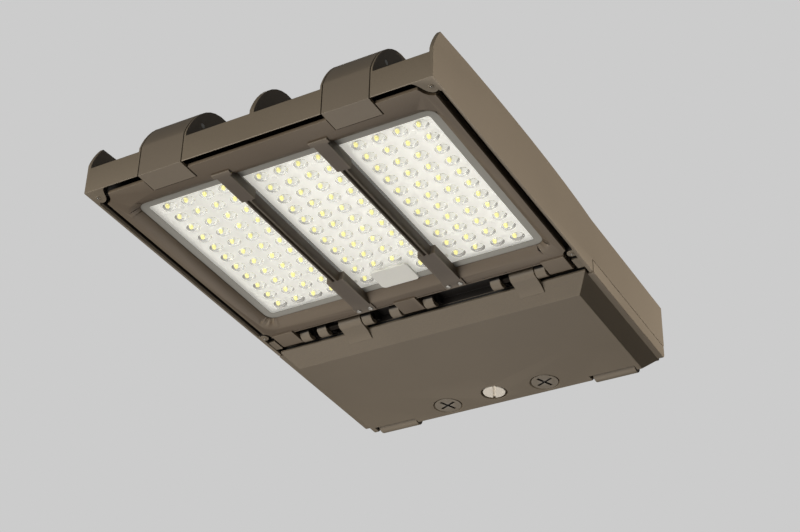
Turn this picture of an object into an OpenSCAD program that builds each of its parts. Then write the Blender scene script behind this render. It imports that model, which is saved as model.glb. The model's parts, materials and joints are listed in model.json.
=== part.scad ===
// Shoebox area light: a flat cast luminaire that bolts to a pole arm and shines downwards.
// X runs across the body, the nose points to -Y and the arm face is at y = 0.
// Heights below are counted from the lower rim of the side walls; the finished part is lowered by
// mount_h, so that its origin is the centre of the arm's bolt pattern.

/* [Body] */
// Width over the side walls
body_w = 330; // [310:1:370]
// Length from the arm face to the nose
body_l = 476; // [460:1:540]
// Height of the arm mount's centre above the side walls' lower rim
mount_h = 42; // [40:0.5:44]
// Thickness of the side walls
wall_t = 3.5; // [3:0.1:5]
// Width of the bevel on the side walls' inner lower edge
rim_bevel_w = 1.5; // [1:0.1:2]
// Height of that bevel
rim_bevel_h = 2.4; // [1:0.1:4]
// Height of the side walls' front corner
wall_nose_h = 53.5; // [50:0.5:56]
// Height of the side walls' highest stretch
wall_mid_h = 61.5; // [60:0.5:66]
// Height of the side walls beside the driver bay
wall_rear_h = 57.5; // [56:0.5:60]
// Distance of the side walls' highest stretch from the arm face
arch_y = 280; // [240:5:300]
// Distance from the arm face at which the side walls' top edge runs level
arch_end = 170; // [150:5:190]
// Height of the nose lip
lip_h = 25.5; // [22:0.5:28]
// Thickness of the nose lip
lip_t = 5; // [4:0.1:6]
// Thickness of the nose lip at its lower edge, which is bevelled on the inside
lip_edge = 0.8; // [0.6:0.1:1.5]
// Length of the corner bosses' sweep along the nose lip
corner_sweep = 14; // [10:0.5:18]
// Depth of the corner bosses behind the nose
corner_l = 18; // [16:0.5:20]
// Height of the upright part of the nose ends
face_h = 29; // [28.5:0.5:31]
// Height of the ribs and of the raised bay
rib_h = 76.5; // [72:0.5:84]
// Length over which the ribs rise from the nose
nose_run = 52; // [46:1:60]
// Thickness of the middle rib
mid_rib_t = 4.4; // [3:0.2:6]
// Underside of the heat sink plate that the boards lie on
plate_z = 13.6; // [13.4:0.1:14.6]
// Thickness of the heat sink plate
plate_t = 5; // [4:0.5:6]
// Thickness of the bay's walls and roofs
shell_t = 3; // [2.5:0.1:4]
// Spacing of the cooling fins
fin_pitch = 15.6; // [12:0.2:20]
// Thickness of the cooling fins
fin_t = 2.4; // [2:0.1:3]
// Height of the cooling fins' tops
fin_h = 58; // [40:1:62]
// Distance of the cooling fins from the nose
fin_nose = 26; // [20:1:34]

/* [Arm mount] */
// Spacing of the arm bolts across
bolt_dx = 76; // [60:1:90]
// Spacing of the arm bolts in height
bolt_dz = 32; // [28:1:34]
// Diameter of the arm bolt holes
bolt_d = 9; // [7:0.5:11]
// Diameter of the wire entry hole in the rear wall
entry_d = 28; // [22:1:32]
// Bore of the wire entry bush
entry_bore = 20; // [12:1:21]
// Thickness of the rear wall at the arm pad
pad_t = 10; // [8:0.5:12]

/* [Optical frame] */
// Gap between the frame and the side walls
frame_side_gap = 5; // [3:0.5:6]
// Gap between the frame and the nose lip
frame_nose_gap = 4; // [3:0.5:6]
// Distance of the frame's rear edge from the arm face
frame_rear = 205; // [204:0.5:207]
// Thickness of the frame's flange
frame_t = 3; // [2.5:0.1:4]
// Height of the frame's upstand
upstand_h = 12.2; // [11.8:0.1:12.4]
// Thickness of the frame's upstand
upstand_t = 5.8; // [5:0.1:6.5]
// Distance of the lens opening from the body's sides
window_side = 22; // [21:0.5:25]
// Distance of the lens opening from the frame's nose edge
window_nose = 32.5; // [31:0.5:36]
// Distance of the lens opening from the frame's rear edge
window_rear = 20.5; // [20:0.5:24]
// Width of the groove along the frame's rear edge
groove_w = 1.1; // [0.8:0.1:1.5]
// Distance of that groove from the rear edge
groove_in = 1.3; // [1:0.1:2]
// Depth of that groove
groove_d = 0.7; // [0.4:0.1:1]
// Corner radius of the lens opening
window_r = 9; // [6:0.5:12]
// Width of the opening's bevel at the sides
bevel_side = 7.5; // [6:0.5:8]
// Width of the opening's bevel at the nose
bevel_nose = 11; // [9:0.5:12]
// Width of the opening's bevel at the rear
bevel_rear = 7; // [6:0.5:8]
// Height of the bevel
bevel_h = 6.6; // [6:0.1:6.9]
// Height of the ledge that the lenses lie on
ledge_z = 7.4; // [7.3:0.1:7.6]
// Lap of the lens plates on the ledge
lens_lap = 5; // [5:0.5:6]

/* [Lenses and boards] */
// Distance of the lens screws from the lens plates' edge
lens_screw_in = 2; // [1.9:0.1:2.6]
// Length of the lens screws beyond their lens plate
screw_bite = 2.2; // [1.5:0.1:2.3]
// Thickness of the lens gasket
gasket_t = 0.6; // [0.4:0.1:0.7]
// Width of the gasket's border that shows inside the lens opening
gasket_border = 7.3; // [5:0.1:9]
// Thickness of the lens plates
lens_t = 2.5; // [2:0.1:2.6]
// Gap between neighbouring lens plates
lens_gap = 1; // [0.6:0.1:2]
// Width of the connector cover
cover_w = 38; // [30:0.5:40]
// Reach of the connector cover towards the nose from the middle of its LED row
cover_reach = 9.5; // [8:0.1:10]
// Depth of the connector cover below the lens plate
cover_t = 2.4; // [1.5:0.1:3]
// Width of the lens opening beyond its three panels
panel_rest = 7; // [4:0.5:12]
// Width of a panel beyond its LED columns
panel_side = 16.4; // [14:0.1:20]
// Spacing of the LED rows
row_pitch = 17.53; // [16:0.01:19]
// Offset of the LED rows towards the nose from the middle of the lens opening
row_offset = 1.25; // [0:0.05:3]
// LED columns on each board
led_cols = 4; // [3:1:4]
// Diameter of a lens dome
dome_d = 11.8; // [10:0.1:13]
// Depth of a lens dome below its plate
dome_h = 3.6; // [2:0.1:4]
// Width of an LED package
led_w = 3.5; // [2.5:0.1:4]
// Thickness of an LED package
led_t = 0.8; // [0.5:0.1:0.9]
// Thickness of the boards
board_t = 1.6; // [1:0.1:1.8]
// Margin between a board and the edge of its lens plate or of the lens opening
board_margin = 4; // [3:0.5:6]
// Margin between a board and the rear edge of the lens opening
board_rear = 2; // [1:0.5:4]
// Length of the jumpers between the boards, along the body
jumper_l = 4; // [3:0.5:6]
// Distance of the jumpers from the rear edge of the lens opening
jumper_rear = 15; // [12:0.5:18]
// Width of the divider bars
bar_w = 9; // [8:0.5:10]
// Width of the divider's necks
neck_w = 13; // [12:0.5:14]
// Width of the divider's T heads
tee_w = 17.5; // [16:0.5:19]
// Distance of the T heads' nose edge from the lens opening
tee_nose = 14.5; // [13:0.5:16]
// Length of the T heads' bar
tee_l = 5.5; // [4:0.5:7]
// Length of the dividers' necks inside the lens opening
neck_l = 28.5; // [24:0.5:34]
// Length of the dividers' wide rear ends inside the lens opening
clip_l = 40.5; // [34:0.5:46]
// Width of the divider's rear feet
foot_w = 20; // [18:0.5:22]
// Thickness of the divider below the frame's face
bar_drop = 1.6; // [1.2:0.1:2]

/* [Hinge line] */
// Distance of the hinge axis from the arm face
hinge_rear = 190; // [189:0.5:191]
// Height of the hinge axis
hinge_z = 5; // [4.5:0.1:5.5]
// Diameter of the hinge pins
pin_d = 6; // [5:0.5:6.5]
// Radius of the hinge knuckles
knuckle_r = 6.5; // [6:0.1:7]
// Radius of the housing's straps round the pins
strap_r = 7.2; // [6.8:0.1:7.4]
// Radial clearance of the pins in the knuckles
pin_play = 0.06; // [0.03:0.01:0.09]
// Width of the frame's knuckles
frame_knuckle_w = 22; // [18:1:23]
// Width of the door's knuckles
door_knuckle_w = 24; // [20:1:25]
// Length of the outer pin seats in the side walls
pin_seat_l = 7; // [5:0.5:8]
// Width of the housing's straps
strap_w = 10; // [8:0.5:10.5]

/* [Driver bay door] */
// Length of the door's side bands
door_l = 172.5; // [171:0.5:173]
// Distance of the door's front lip from the arm face
door_lip = 178.8; // [178:0.2:179.4]
// Depth of the door below the side walls' rim
door_drop = 14; // [12:0.5:16]
// Run of the door's sloping front face
slope_run = 15.3; // [13:0.1:17]
// Run of the door's side chamfers
chamfer_run = 12.4; // [11:0.1:14]
// Width of the flat border outside the side chamfers
border_w = 5.6; // [5:0.1:6.5]
// Radius of the border's rear lower corner
border_r = 5; // [3:0.5:7]
// Run of the door's rear chamfer
rear_run = 13; // [12:0.5:14]
// Level of the door's border below the rim
border_drop = 0.5; // [0.3:0.1:1]
// Thickness of the door's skin
door_t = 2.5; // [2:0.1:3]
// Height of the door's side bands
band_h = 12.6; // [12:0.1:13.2]
// Gap along the door's parting line
parting_gap = 1.2; // [0.5:0.1:1.6]
// Gap between the door and the arm face
door_rear_gap = 1; // [0.6:0.1:1.5]
// Height of the bay's inner ring wall above the rim
ring_z = 6; // [5.8:0.1:6.4]
// Top of the door's gasket rail
rail_z = 1.5; // [1.2:0.1:1.8]
// Distance of the bay's ring wall from the edge of the door's side border
seal_side = 2.4; // [2:0.1:3]
// Distance of the bay's ring wall behind the door's front lip
seal_front = 3.3; // [3:0.1:4]
// Clearance between the door gasket and the ring wall
seal_gap = 0.3; // [0.2:0.05:0.5]

/* [Door fasteners] */
// Distance of the cross-recess fasteners from the middle
stud_x = 53; // [48:0.5:58]
// Distance of the cross-recess fasteners from the arm face
stud_rear = 33.5; // [33:0.5:34]
// Distance of the slotted fastener from the arm face
slot_rear = 37; // [36:0.5:38]
// Diameter of the cross-recess heads
stud_head_d = 26.5; // [24:0.5:27]
// Diameter of the countersunk ring round the heads
stud_ring_d = 30; // [29:0.5:31]
// Diameter of the slotted head
slot_head_d = 22; // [20:0.5:23]
// Diameter of the slotted head's well
slot_well_d = 26.4; // [25:0.2:28]
// Thickness of the fastener heads
head_t = 4; // [3:0.5:4.5]
// Diameter of the fastener shanks
shank_d = 8; // [7:0.5:9]
// Length of the fasteners' locking wings
wing_l = 20; // [16:1:21]
// Thickness of the locking wings
wing_t = 4; // [3:0.5:4.5]
// Width of the rear lugs
lug_w = 43; // [38:1:44]
// Distance of the rear lugs' centres from the middle
lug_x = 119; // [116:0.5:121]

/* [Latches] */
// Distance of the latches from the middle
latch_x = 88; // [84:0.5:92]
// Width of the latches
latch_w = 42.5; // [38:0.5:46]
// Gap round the latches
latch_gap = 0.8; // [0.6:0.1:1.2]
// Gap behind the latches' tails, which dip under the rib's roof as they open
tail_gap = 3; // [3:0.1:4]
// Thickness of the rib's cheeks beside the latches
cheek_t = 1.8; // [1.6:0.1:2.4]
// Thickness of the latch plate
latch_t = 4.5; // [3.5:0.1:5]
// Length of the latch's lower tab
tab_l = 22.5; // [20:0.5:24]
// Height of the latch pivot
pivot_z = 50; // [48:0.5:52]
// Distance of the latch pivot behind the nose
pivot_y = 21; // [20:0.5:22]
// Diameter of the latch pin
latch_pin_d = 5; // [4:0.5:6]

/* [Bay contents] */
// Length of the driver
driver_l = 200; // [160:5:205]
// Width of the driver
driver_w = 62; // [50:1:64]
// Height of the driver
driver_h = 38; // [30:1:42]
// Gap between the driver's ends and the bay's side walls
driver_gap = 5; // [3:0.5:6]
// Spacing of the driver's screws across its ends
driver_screw_dy = 44; // [30:1:46]
// Width of the surge module
surge_w = 46; // [40:1:50]
// Height of the surge module
surge_h = 30; // [24:1:34]
// Length of the terminal block
terminal_l = 44; // [36:1:50]
// Height of the terminal block
terminal_h = 20; // [16:1:24]
// Distance of the surge module's and the terminal block's front from the arm face
shelf_front = 74; // [72:0.5:76]
// Depth of the surge module
surge_dy = 24; // [20:1:26]
// Depth of the terminal block
terminal_dy = 22; // [18:1:24]
// Gap between the terminal block and the bay's side wall
terminal_gap = 12; // [8:1:16]
// Diameter of a lead
lead_d = 3; // [2:0.2:3.4]

/* [Hidden] */
$fn = 48;
eps = 0.01;
half_w = body_w / 2;
inner_w = half_w - wall_t;
nose_y = -body_l;
plate_top = plate_z + plate_t;
frame_hw = inner_w - frame_side_gap;
frame_nose_y = nose_y + lip_t + frame_nose_gap;
frame_rear_y = -frame_rear;
groove_y = frame_rear_y - groove_in - groove_w;
win_hw = half_w - window_side;
panel_pitch = (2 * win_hw - panel_rest) / 3;
col_pitch = (panel_pitch - panel_side) / led_cols;
win_y0 = frame_nose_y + window_nose;
win_y1 = frame_rear_y - window_rear;
win_mid = (win_y0 + win_y1) / 2;
lens_z = ledge_z + gasket_t;
lens_hw = win_hw + lens_lap;
lens_y0 = win_y0 - lens_lap;
lens_y1 = win_y1 + lens_lap;
seat_gap = 0.7;
lens_screw_x = 30;
upstand_hw = lens_hw + seat_gap + upstand_t;
upstand_y0 = lens_y0 - seat_gap - upstand_t;
upstand_y1 = lens_y1 + seat_gap + upstand_t;
divider_x = panel_pitch / 2;
led_rows = floor((win_y1 - win_y0 - 2 * gasket_border - dome_d) / row_pitch) + 1;
led_y0 = win_mid - row_offset - (led_rows - 1) * row_pitch / 2;
board_z = plate_z - board_t;
hinge_y = -hinge_rear;
bay_y = -176;
bay_wall = 3;
door_rear_y = -door_rear_gap;
shelf_z = band_h + parting_gap;
raised_hw = latch_x + latch_w / 2 + latch_gap + cheek_t;
border_hw = half_w - border_w;
panel_hw = border_hw - chamfer_run;
drop_run = door_drop - border_drop;
stud_y = -stud_rear;
slot_y = -slot_rear;
lock_plate_z = 7.6;
lock_plate_t = 2;
wing_z = lock_plate_z + lock_plate_t + 0.6;
lock_shelf_z = lock_plate_z + lock_plate_t;
lug_y = -13;
lug_z = -5;
lug_r = 9;
lug_gap = 1.6;
ring_jog_x = lug_x - lug_w / 2 - 4.5;
ring_side = border_hw - seal_side;
ring_front = door_lip - seal_front;
ring_rear_side = lug_r - lug_y + 7;
ring_rear_mid = pad_t + 2;
ring_t = 2.5;
boss_x = half_w - 7;
boss_y = nose_y + 10;
corner_gap = 3.5;
corner_screw_l = 7.5;
corner_end = corner_l - 1.5;
corner_bend_x = boss_x - 7.5;
bend_shift = 0.8;
rear_boss_x = half_w - 5.5;
rear_boss_y = frame_rear_y - 3;
rear_boss_r = 4.3;
latch_tail_t = 0.70;
latch_pivot_y = nose_y + pivot_y;
frame_knuckles = [22.5 - inner_w, -7, inner_w - 20.5];
door_knuckles = [-73, inner_w - 56.5];
straps = [39.5 - inner_w, -103, -25, inner_w - 82.5, inner_w - 38.5, -54.5, 10.5];
pins = [[-inner_w, 44.5 - inner_w], [-108, -49.5], [-30, 15.5], [inner_w - 87.5, inner_w]];
driver_y = -115;
roof_z = rib_h - shell_t;
bay_hw = max(raised_hw, driver_l / 2 + driver_gap + shell_t);
terminal_x = terminal_gap + shell_t - bay_hw;
jumper_hw = 9;
duct_hw = 9;
duct_y = win_y1 - 16;
duct_h = 11;
duct_z = plate_top + 4.5;
bush_r = 4.2;
lead_x = 1.9;

// ---- Helpers ----

// Puts a piece modelled from the rim into the part's own frame.
module placed() {
    translate([0, 0, -mount_h]) children();
}

// Box between two corners.
module block(x0, x1, y0, y1, z0, z1) {
    translate([x0, y0, z0]) cube([x1 - x0, y1 - y0, z1 - z0]);
}

// Outline in Y and Z, drawn out along X.
module along_x(points, x0, x1) {
    translate([x0, 0, 0]) rotate([90, 0, 90]) linear_extrude(x1 - x0) polygon(points);
}

// Outline in X and Z, drawn out along Y.
module along_y(points, y0, y1) {
    translate([0, y1, 0]) rotate([90, 0, 0]) linear_extrude(y1 - y0) polygon(points);
}

// Outline in X and Y, drawn out along Z.
module along_z(points, z0, z1) {
    translate([0, 0, z0]) linear_extrude(z1 - z0) polygon(points);
}

// Round bar along X.
module rod_x(y, z, r, x0, x1) {
    translate([x0, y, z]) rotate([0, 90, 0]) cylinder(r = r, h = x1 - x0);
}

// Round bar along Y.
module rod_y(x, z, r, y0, y1) {
    translate([x, y1, z]) rotate([90, 0, 0]) cylinder(r = r, h = y1 - y0);
}

// Round bar along Z.
module rod_z(x, y, r, z0, z1) {
    translate([x, y, z0]) cylinder(r = r, h = z1 - z0);
}

// The children and their mirror image on the other side of the middle.
module both_sides() {
    children();
    mirror([1, 0, 0]) children();
}

// Rectangle with round corners between two heights.
module round_slab(x0, x1, y0, y1, z0, z1, r) {
    block(x0 + r, x1 - r, y0, y1, z0, z1);
    block(x0, x1, y0 + r, y1 - r, z0, z1);
    for (x = [x0 + r, x1 - r], y = [y0 + r, y1 - r])
        rod_z(x, y, r, z0, z1);
}

// Rectangular ring between two heights.
module ring(x0, x1, y0, y1, t, z0, z1) {
    difference() {
        block(x0, x1, y0, y1, z0, z1);
        block(x0 + t, x1 - t, y0 + t, y1 - t, z0 - 1, z1 + 1);
    }
}

// Cubic curve through four control values.
function cubic(t, a, b, c, d) =
    pow(1 - t, 3) * a + 3 * t * pow(1 - t, 2) * b + 3 * t * t * (1 - t) * c + pow(t, 3) * d;

// Quadratic curve through three control values.
function quad(t, a, b, c) = pow(1 - t, 2) * a + 2 * t * (1 - t) * b + t * t * c;

// Point of the rounded nose end that ribs, walls and latches share, set inwards by inset.
function nose_point(t, inset) = [
    cubic(t, nose_y + inset, nose_y + 5 + inset, nose_y + 0.46 * nose_run, nose_y + nose_run),
    cubic(t, face_h, face_h + 0.4 * (rib_h - face_h) - 0.3 * inset, rib_h + 1.5 - inset, rib_h - inset)
];

// The nose end's outline from t = 0 to t = t1.
function nose_curve(t1, inset, steps) = [for (i = [0:steps]) nose_point(t1 * i / steps, inset)];

// Outline in X and Y of the corner boss on the right, widened by d: it sweeps out of the nose lip.
function corner_outline(d) = concat(
    [[boss_x - corner_sweep, nose_y], [inner_w + eps, nose_y], [inner_w + eps, nose_y + corner_end + d]],
    [for (i = [8:-1:0]) [
        cubic(i / 8, boss_x - corner_sweep, corner_bend_x - bend_shift * d,
            corner_bend_x - 1 - bend_shift * d, boss_x + 0.5),
        nose_y + d + cubic(i / 8, lip_edge, lip_edge + 0.3, corner_l, corner_l)]]
);

// Outline in X and Y of the bay's seal line, set inwards by d.
function seal_line(d) = [
    [-ring_side + d, -ring_front + d], [ring_side - d, -ring_front + d],
    [ring_side - d, -ring_rear_side - d], [ring_jog_x - d, -ring_rear_side - d],
    [ring_jog_x - d, -ring_rear_mid - d], [-ring_jog_x + d, -ring_rear_mid - d],
    [-ring_jog_x + d, -ring_rear_side - d], [-ring_side + d, -ring_rear_side - d]
];

// Wall that follows the bay's seal line.
module seal_wall(d0, d1, z0, z1) {
    difference() {
        along_z(seal_line(d0), z0, z1);
        along_z(seal_line(d1), z0 - 1, z1 + 1);
    }
}

// ---- Housing ----

// Side wall's outline: rounded nose, arched top edge, and a step for the door's band.
function wall_outline() = concat(
    [[nose_y, 0]],
    nose_curve(0.38, 0, 6),
    [for (i = [1:8]) [
        quad(i / 8, nose_point(0.38, 0)[0], -arch_y, -arch_end),
        quad(i / 8, wall_nose_h, 2 * wall_mid_h - (wall_nose_h + wall_rear_h) / 2, wall_rear_h)]],
    [[0, wall_rear_h], [0, shelf_z], [-door_l - parting_gap, shelf_z], [-door_l - parting_gap, 0]]
);

// Rib's outline from the nose lip to the bay.
function rib_outline(inset, floor_z) = concat(
    [[nose_y + inset, floor_z]],
    nose_curve(1, inset, 10),
    [[bay_y + 1, rib_h - inset], [bay_y + 1, floor_z]]
);

// Wide hollow rib with an open nose slot that a latch fills.
module wide_rib() {
    cheek_x = latch_w / 2 + latch_gap;
    tail_y = nose_point(latch_tail_t, 0)[0] + tail_gap;
    difference() {
        along_x(rib_outline(0, plate_top - 1), -cheek_x - cheek_t, cheek_x + cheek_t);
        along_x(rib_outline(shell_t, plate_top), -cheek_x, cheek_x);
        block(-cheek_x, cheek_x, nose_y - 1, tail_y, plate_top, rib_h + 1);
        rod_x(latch_pivot_y, pivot_z, latch_pin_d / 2, -cheek_x - cheek_t - 1, cheek_x + cheek_t + 1);
    }
}

// Cooling fin with a sloping nose end.
module fin(x) {
    fin_y = nose_y + fin_nose;
    along_x([[fin_y, plate_top - 1], [fin_y, plate_top + 6],
        [fin_y + 0.9 * (fin_h - plate_top), fin_h], [bay_y + 1, fin_h],
        [bay_y + 1, plate_top - 1]], x - fin_t / 2, x + fin_t / 2);
}

// Hinge strap: a ring round the pin on a web that runs up to the heat sink plate.
module strap(x) {
    rod_x(hinge_y, hinge_z, strap_r, x - strap_w / 2, x + strap_w / 2);
    along_x([[hinge_y - 2, hinge_z], [hinge_y - 2, plate_z + 1], [bay_y + 1, plate_z + 1],
        [bay_y + 1, ring_z + 2.5], [hinge_y + strap_r - 0.6, hinge_z]],
        x - strap_w / 2, x + strap_w / 2);
}

// Lug behind the door's rear edge, a half-round bar hanging from the rear wall.
module rear_lug() {
    rod_x(lug_y, lug_z, lug_r, lug_x - lug_w / 2, lug_x + lug_w / 2);
    block(lug_x - lug_w / 2, lug_x + lug_w / 2, lug_y - lug_r, lug_y + lug_r, lug_z, shelf_z + 1);
}

// Front half of the housing: nose, heat sink plate, ribs and fins.
module optical_shell() {
    along_x([[nose_y, 0], [nose_y + lip_edge, 0], [nose_y + lip_t, 4.5], [nose_y + lip_t, lip_h],
        [nose_y, lip_h]], -inner_w - eps, inner_w + eps);
    block(-inner_w - eps, inner_w + eps, nose_y + lip_t - eps, bay_y + 1, plate_z, plate_top);
    both_sides() {
        along_x(wall_outline(), inner_w, half_w);
        translate([latch_x, 0, 0]) wide_rib();
        along_z(corner_outline(0), 0, plate_z + 1);
        rod_z(rear_boss_x, rear_boss_y, rear_boss_r, 0, plate_z + 1);
        block(inner_w - pin_seat_l, inner_w + eps, hinge_y - strap_r, hinge_y + strap_r,
            hinge_z - pin_d / 2 - 1, plate_z + 1);
    }
    along_x(rib_outline(0, plate_top - 1), -mid_rib_t / 2, mid_rib_t / 2);
    both_sides() {
        for (i = [1:floor((2 * latch_x - raised_hw) / fin_pitch - 0.5)])
            fin(i * fin_pitch);
        for (i = [1:floor((inner_w - raised_hw) / fin_pitch - 0.5)])
            fin(raised_hw + i * fin_pitch);
    }
    for (x = straps)
        strap(x);
    // Covered duct for the LED leads, from the bay to the hole above the middle board.
    block(-duct_hw, duct_hw, duct_y - 8, bay_y + 1, plate_top - 1, plate_top + duct_h);
}

// Rear half of the housing: the driver bay with its seal wall, arm pad and lock shelf.
module bay_shell() {
    rear_t = 4;
    both_sides() {
        block(bay_hw - shell_t, inner_w + eps, bay_y, 0, wall_rear_h - shell_t, wall_rear_h);
        block(bay_hw - shell_t, bay_hw, bay_y, 0, wall_rear_h - eps, rib_h);
        block(ring_side - ring_t, inner_w + eps, bay_y + 1, 0, shelf_z, shelf_z + shell_t);
        block(ring_jog_x - ring_t, ring_side, -ring_rear_side - ring_t, 0, shelf_z, shelf_z + shell_t);
        rear_lug();
    }
    block(-bay_hw + eps, bay_hw - eps, bay_y, 0, roof_z, rib_h);
    block(-inner_w - eps, inner_w + eps, bay_y, bay_y + bay_wall, shelf_z, wall_rear_h);
    block(-bay_hw, bay_hw, bay_y, bay_y + bay_wall, wall_rear_h - eps, rib_h);
    block(-inner_w - eps, inner_w + eps, -rear_t, 0, shelf_z, wall_rear_h);
    block(-bay_hw, bay_hw, -rear_t, 0, wall_rear_h - eps, rib_h);
    block(-ring_jog_x, ring_jog_x, -ring_rear_mid - ring_t, 0, shelf_z, shelf_z + shell_t);
    seal_wall(0, ring_t, ring_z, shelf_z + eps);
    block(-bolt_dx / 2 - 15, bolt_dx / 2 + 15, -pad_t, 0, shelf_z, rib_h - eps);
    block(-stud_x - 17, stud_x + 17, slot_y - 16, -ring_rear_mid - eps,
        lock_shelf_z, lock_shelf_z + shell_t);
    for (x = [-stud_x + 18, stud_x - 18])
        along_x([[slot_y - 16, lock_shelf_z + 1], [-ring_rear_mid - ring_t + eps, lock_shelf_z + 1],
            [-ring_rear_mid - ring_t + eps, lock_shelf_z + 16]], x - 1.5, x + 1.5);
}

// Screw holes and wire holes of the housing.
module housing_holes() {
    for (x = [-bolt_dx / 2, bolt_dx / 2], z = [mount_h - bolt_dz / 2, mount_h + bolt_dz / 2])
        rod_y(x, z, bolt_d / 2, -pad_t - 1, 1);
    rod_y(0, mount_h, entry_d / 2, -pad_t - 1, 1);
    for (s = fastener_spots())
        rod_z(s[0], s[1], wing_l / 2 + 2, lock_shelf_z - 1, lock_shelf_z + shell_t + 1);
    block(-duct_hw + 2.5, duct_hw - 2.5, duct_y - 5.5, bay_y + eps, plate_top, plate_top + duct_h - 2.5);
    rod_y(0, duct_z, bush_r, bay_y - 1, bay_y + bay_wall + 1);
    rod_z(0, duct_y, bush_r, plate_z - 1, plate_top + 1);
    for (p = pins)
        rod_x(hinge_y, hinge_z, pin_d / 2, p[0], p[1]);
    for (s = driver_screw_spots())
        rod_z(s[0], s[1], 2, roof_z - 1, roof_z + 1.8);
    for (s = board_screw_spots())
        rod_z(s[0], s[1], 1.5, plate_z - 1, plate_z + 4);
    for (s = corner_spots())
        rod_z(s[0], s[1], 1.6, -1, 8);
    // Bevel on the inner lower edge of the side walls, beside the frame.
    both_sides()
        along_y([[inner_w - 1, -1], [inner_w + rim_bevel_w, -1], [inner_w + rim_bevel_w, 0],
            [inner_w, rim_bevel_h], [inner_w - 1, rim_bevel_h]],
            nose_y + corner_l + 0.5, rear_boss_y - rear_boss_r - 0.5);
    // Slot in the nose lip that each latch fills.
    both_sides()
        block(latch_x - latch_w / 2 - latch_gap, latch_x + latch_w / 2 + latch_gap,
            nose_y - 1, nose_y + lip_t + eps, -1, rib_h + 1);
}

// Places of the two cross-recess fasteners and the slotted one.
function fastener_spots() = [[-stud_x, stud_y], [stud_x, stud_y], [0, slot_y]];

// Places of the board screws: four to a board, between the LEDs.
function board_screw_spots() = [for (p = [-1:1], s = [-1, 1], r = [0.5, led_rows - 2.5])
    [p * panel_pitch + s * col_pitch, led_y0 + r * row_pitch]];

// Places of the corner bosses' screws.
function corner_spots() = [
    [-boss_x, boss_y], [boss_x, boss_y], [-rear_boss_x, rear_boss_y], [rear_boss_x, rear_boss_y]];

module housing() {
    color("#6E6453") placed() difference() {
        union() {
            optical_shell();
            bay_shell();
        }
        housing_holes();
    }
}

// ---- Optical frame ----

// Bevelled lens opening: wider at the frame's face than at the ledge.
module window_cut() {
    hull() {
        translate([0, 0, -0.2])
            round_slab(-win_hw - bevel_side, win_hw + bevel_side, win_y0 - bevel_nose,
                win_y1 + bevel_rear, 0, 0.2, window_r + 8, $fn = 32);
        round_slab(-win_hw, win_hw, win_y0, win_y1, bevel_h - 0.2, bevel_h, window_r, $fn = 32);
    }
    round_slab(-win_hw, win_hw, win_y0, win_y1, bevel_h - eps, ledge_z + 1, window_r);
}

module optical_frame() {
    notch_x = latch_w / 2 + latch_gap;
    notch_y = nose_y + tab_l + latch_gap;
    color("#5D4F43") placed() difference() {
        union() {
            along_x([[frame_nose_y, 0], [groove_y, 0], [groove_y, groove_d],
                [groove_y + groove_w, groove_d], [groove_y + groove_w, 0], [frame_rear_y, 0],
                [frame_rear_y, frame_t], [frame_nose_y, frame_t]], -frame_hw, frame_hw);
            block(-upstand_hw, upstand_hw, upstand_y0, upstand_y1, 0, upstand_h);
            for (x = frame_knuckles) {
                rod_x(hinge_y, hinge_z, knuckle_r, x - frame_knuckle_w / 2, x + frame_knuckle_w / 2);
                block(x - frame_knuckle_w / 2, x + frame_knuckle_w / 2, frame_rear_y - 4, hinge_y,
                    hinge_z - knuckle_r, hinge_z - knuckle_r + frame_t);
                block(x - frame_knuckle_w / 2, x + frame_knuckle_w / 2, frame_rear_y - 4,
                    frame_rear_y + 4, 0, frame_t);
            }
        }
        window_cut();
        block(-lens_hw - seat_gap, lens_hw + seat_gap, lens_y0 - seat_gap, lens_y1 + seat_gap,
            ledge_z, upstand_h + 1);
        both_sides() {
            block(latch_x - notch_x, latch_x + notch_x, frame_nose_y - 1, notch_y, -1, frame_t + 1);
            along_z(corner_outline(corner_gap), -1, frame_t + 1);
            rod_z(rear_boss_x, rear_boss_y, rear_boss_r + 3, -1, frame_t + 1);
        }
        for (x = frame_knuckles)
            rod_x(hinge_y, hinge_z, pin_d / 2 + pin_play, x - frame_knuckle_w, x + frame_knuckle_w);
        for (s = lens_screw_spots())
            rod_z(s[0], s[1], 1.2, lens_z - screw_bite - 0.1, lens_z + 1);
        for (s = foot_screw_spots())
            rod_z(s[0], s[1], 1.2, -0.1, frame_t - 0.4);
    }
}

// Places of the lens screws: four to a lens plate, on its lapped edges.
function lens_screw_spots() = [
    for (p = [-1:1], s = [-1, 1], y = [lens_y0 + lens_screw_in, lens_y1 - lens_screw_in])
        [p * panel_pitch + s * lens_screw_x, y]
];

// Places of the screws in the dividers' feet.
function foot_screw_spots() = [for (s = [-1, 1], d = [-6, 6]) [s * divider_x + d, frame_rear_y - 7]];

module lens_gasket() {
    color("#2B2B2B") placed()
        difference() {
            block(-lens_hw, lens_hw, lens_y0, lens_y1, ledge_z, lens_z);
            round_slab(gasket_border - win_hw, win_hw - gasket_border, win_y0 + gasket_border,
                win_y1 - gasket_border, ledge_z - 1, lens_z + 1, 3);
            for (s = lens_screw_spots())
                rod_z(s[0], s[1], 1.3, ledge_z - 1, lens_z + 1);
        }
}

module frame_seal() {
    color("#2B2B2B") placed()
        ring(-upstand_hw + 1.5, upstand_hw - 1.5, upstand_y0 + 1.5, upstand_y1 - 1.5,
            upstand_t - 3, upstand_h, plate_z - 0.3);
}

// ---- Lenses, dividers and boards ----

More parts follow.
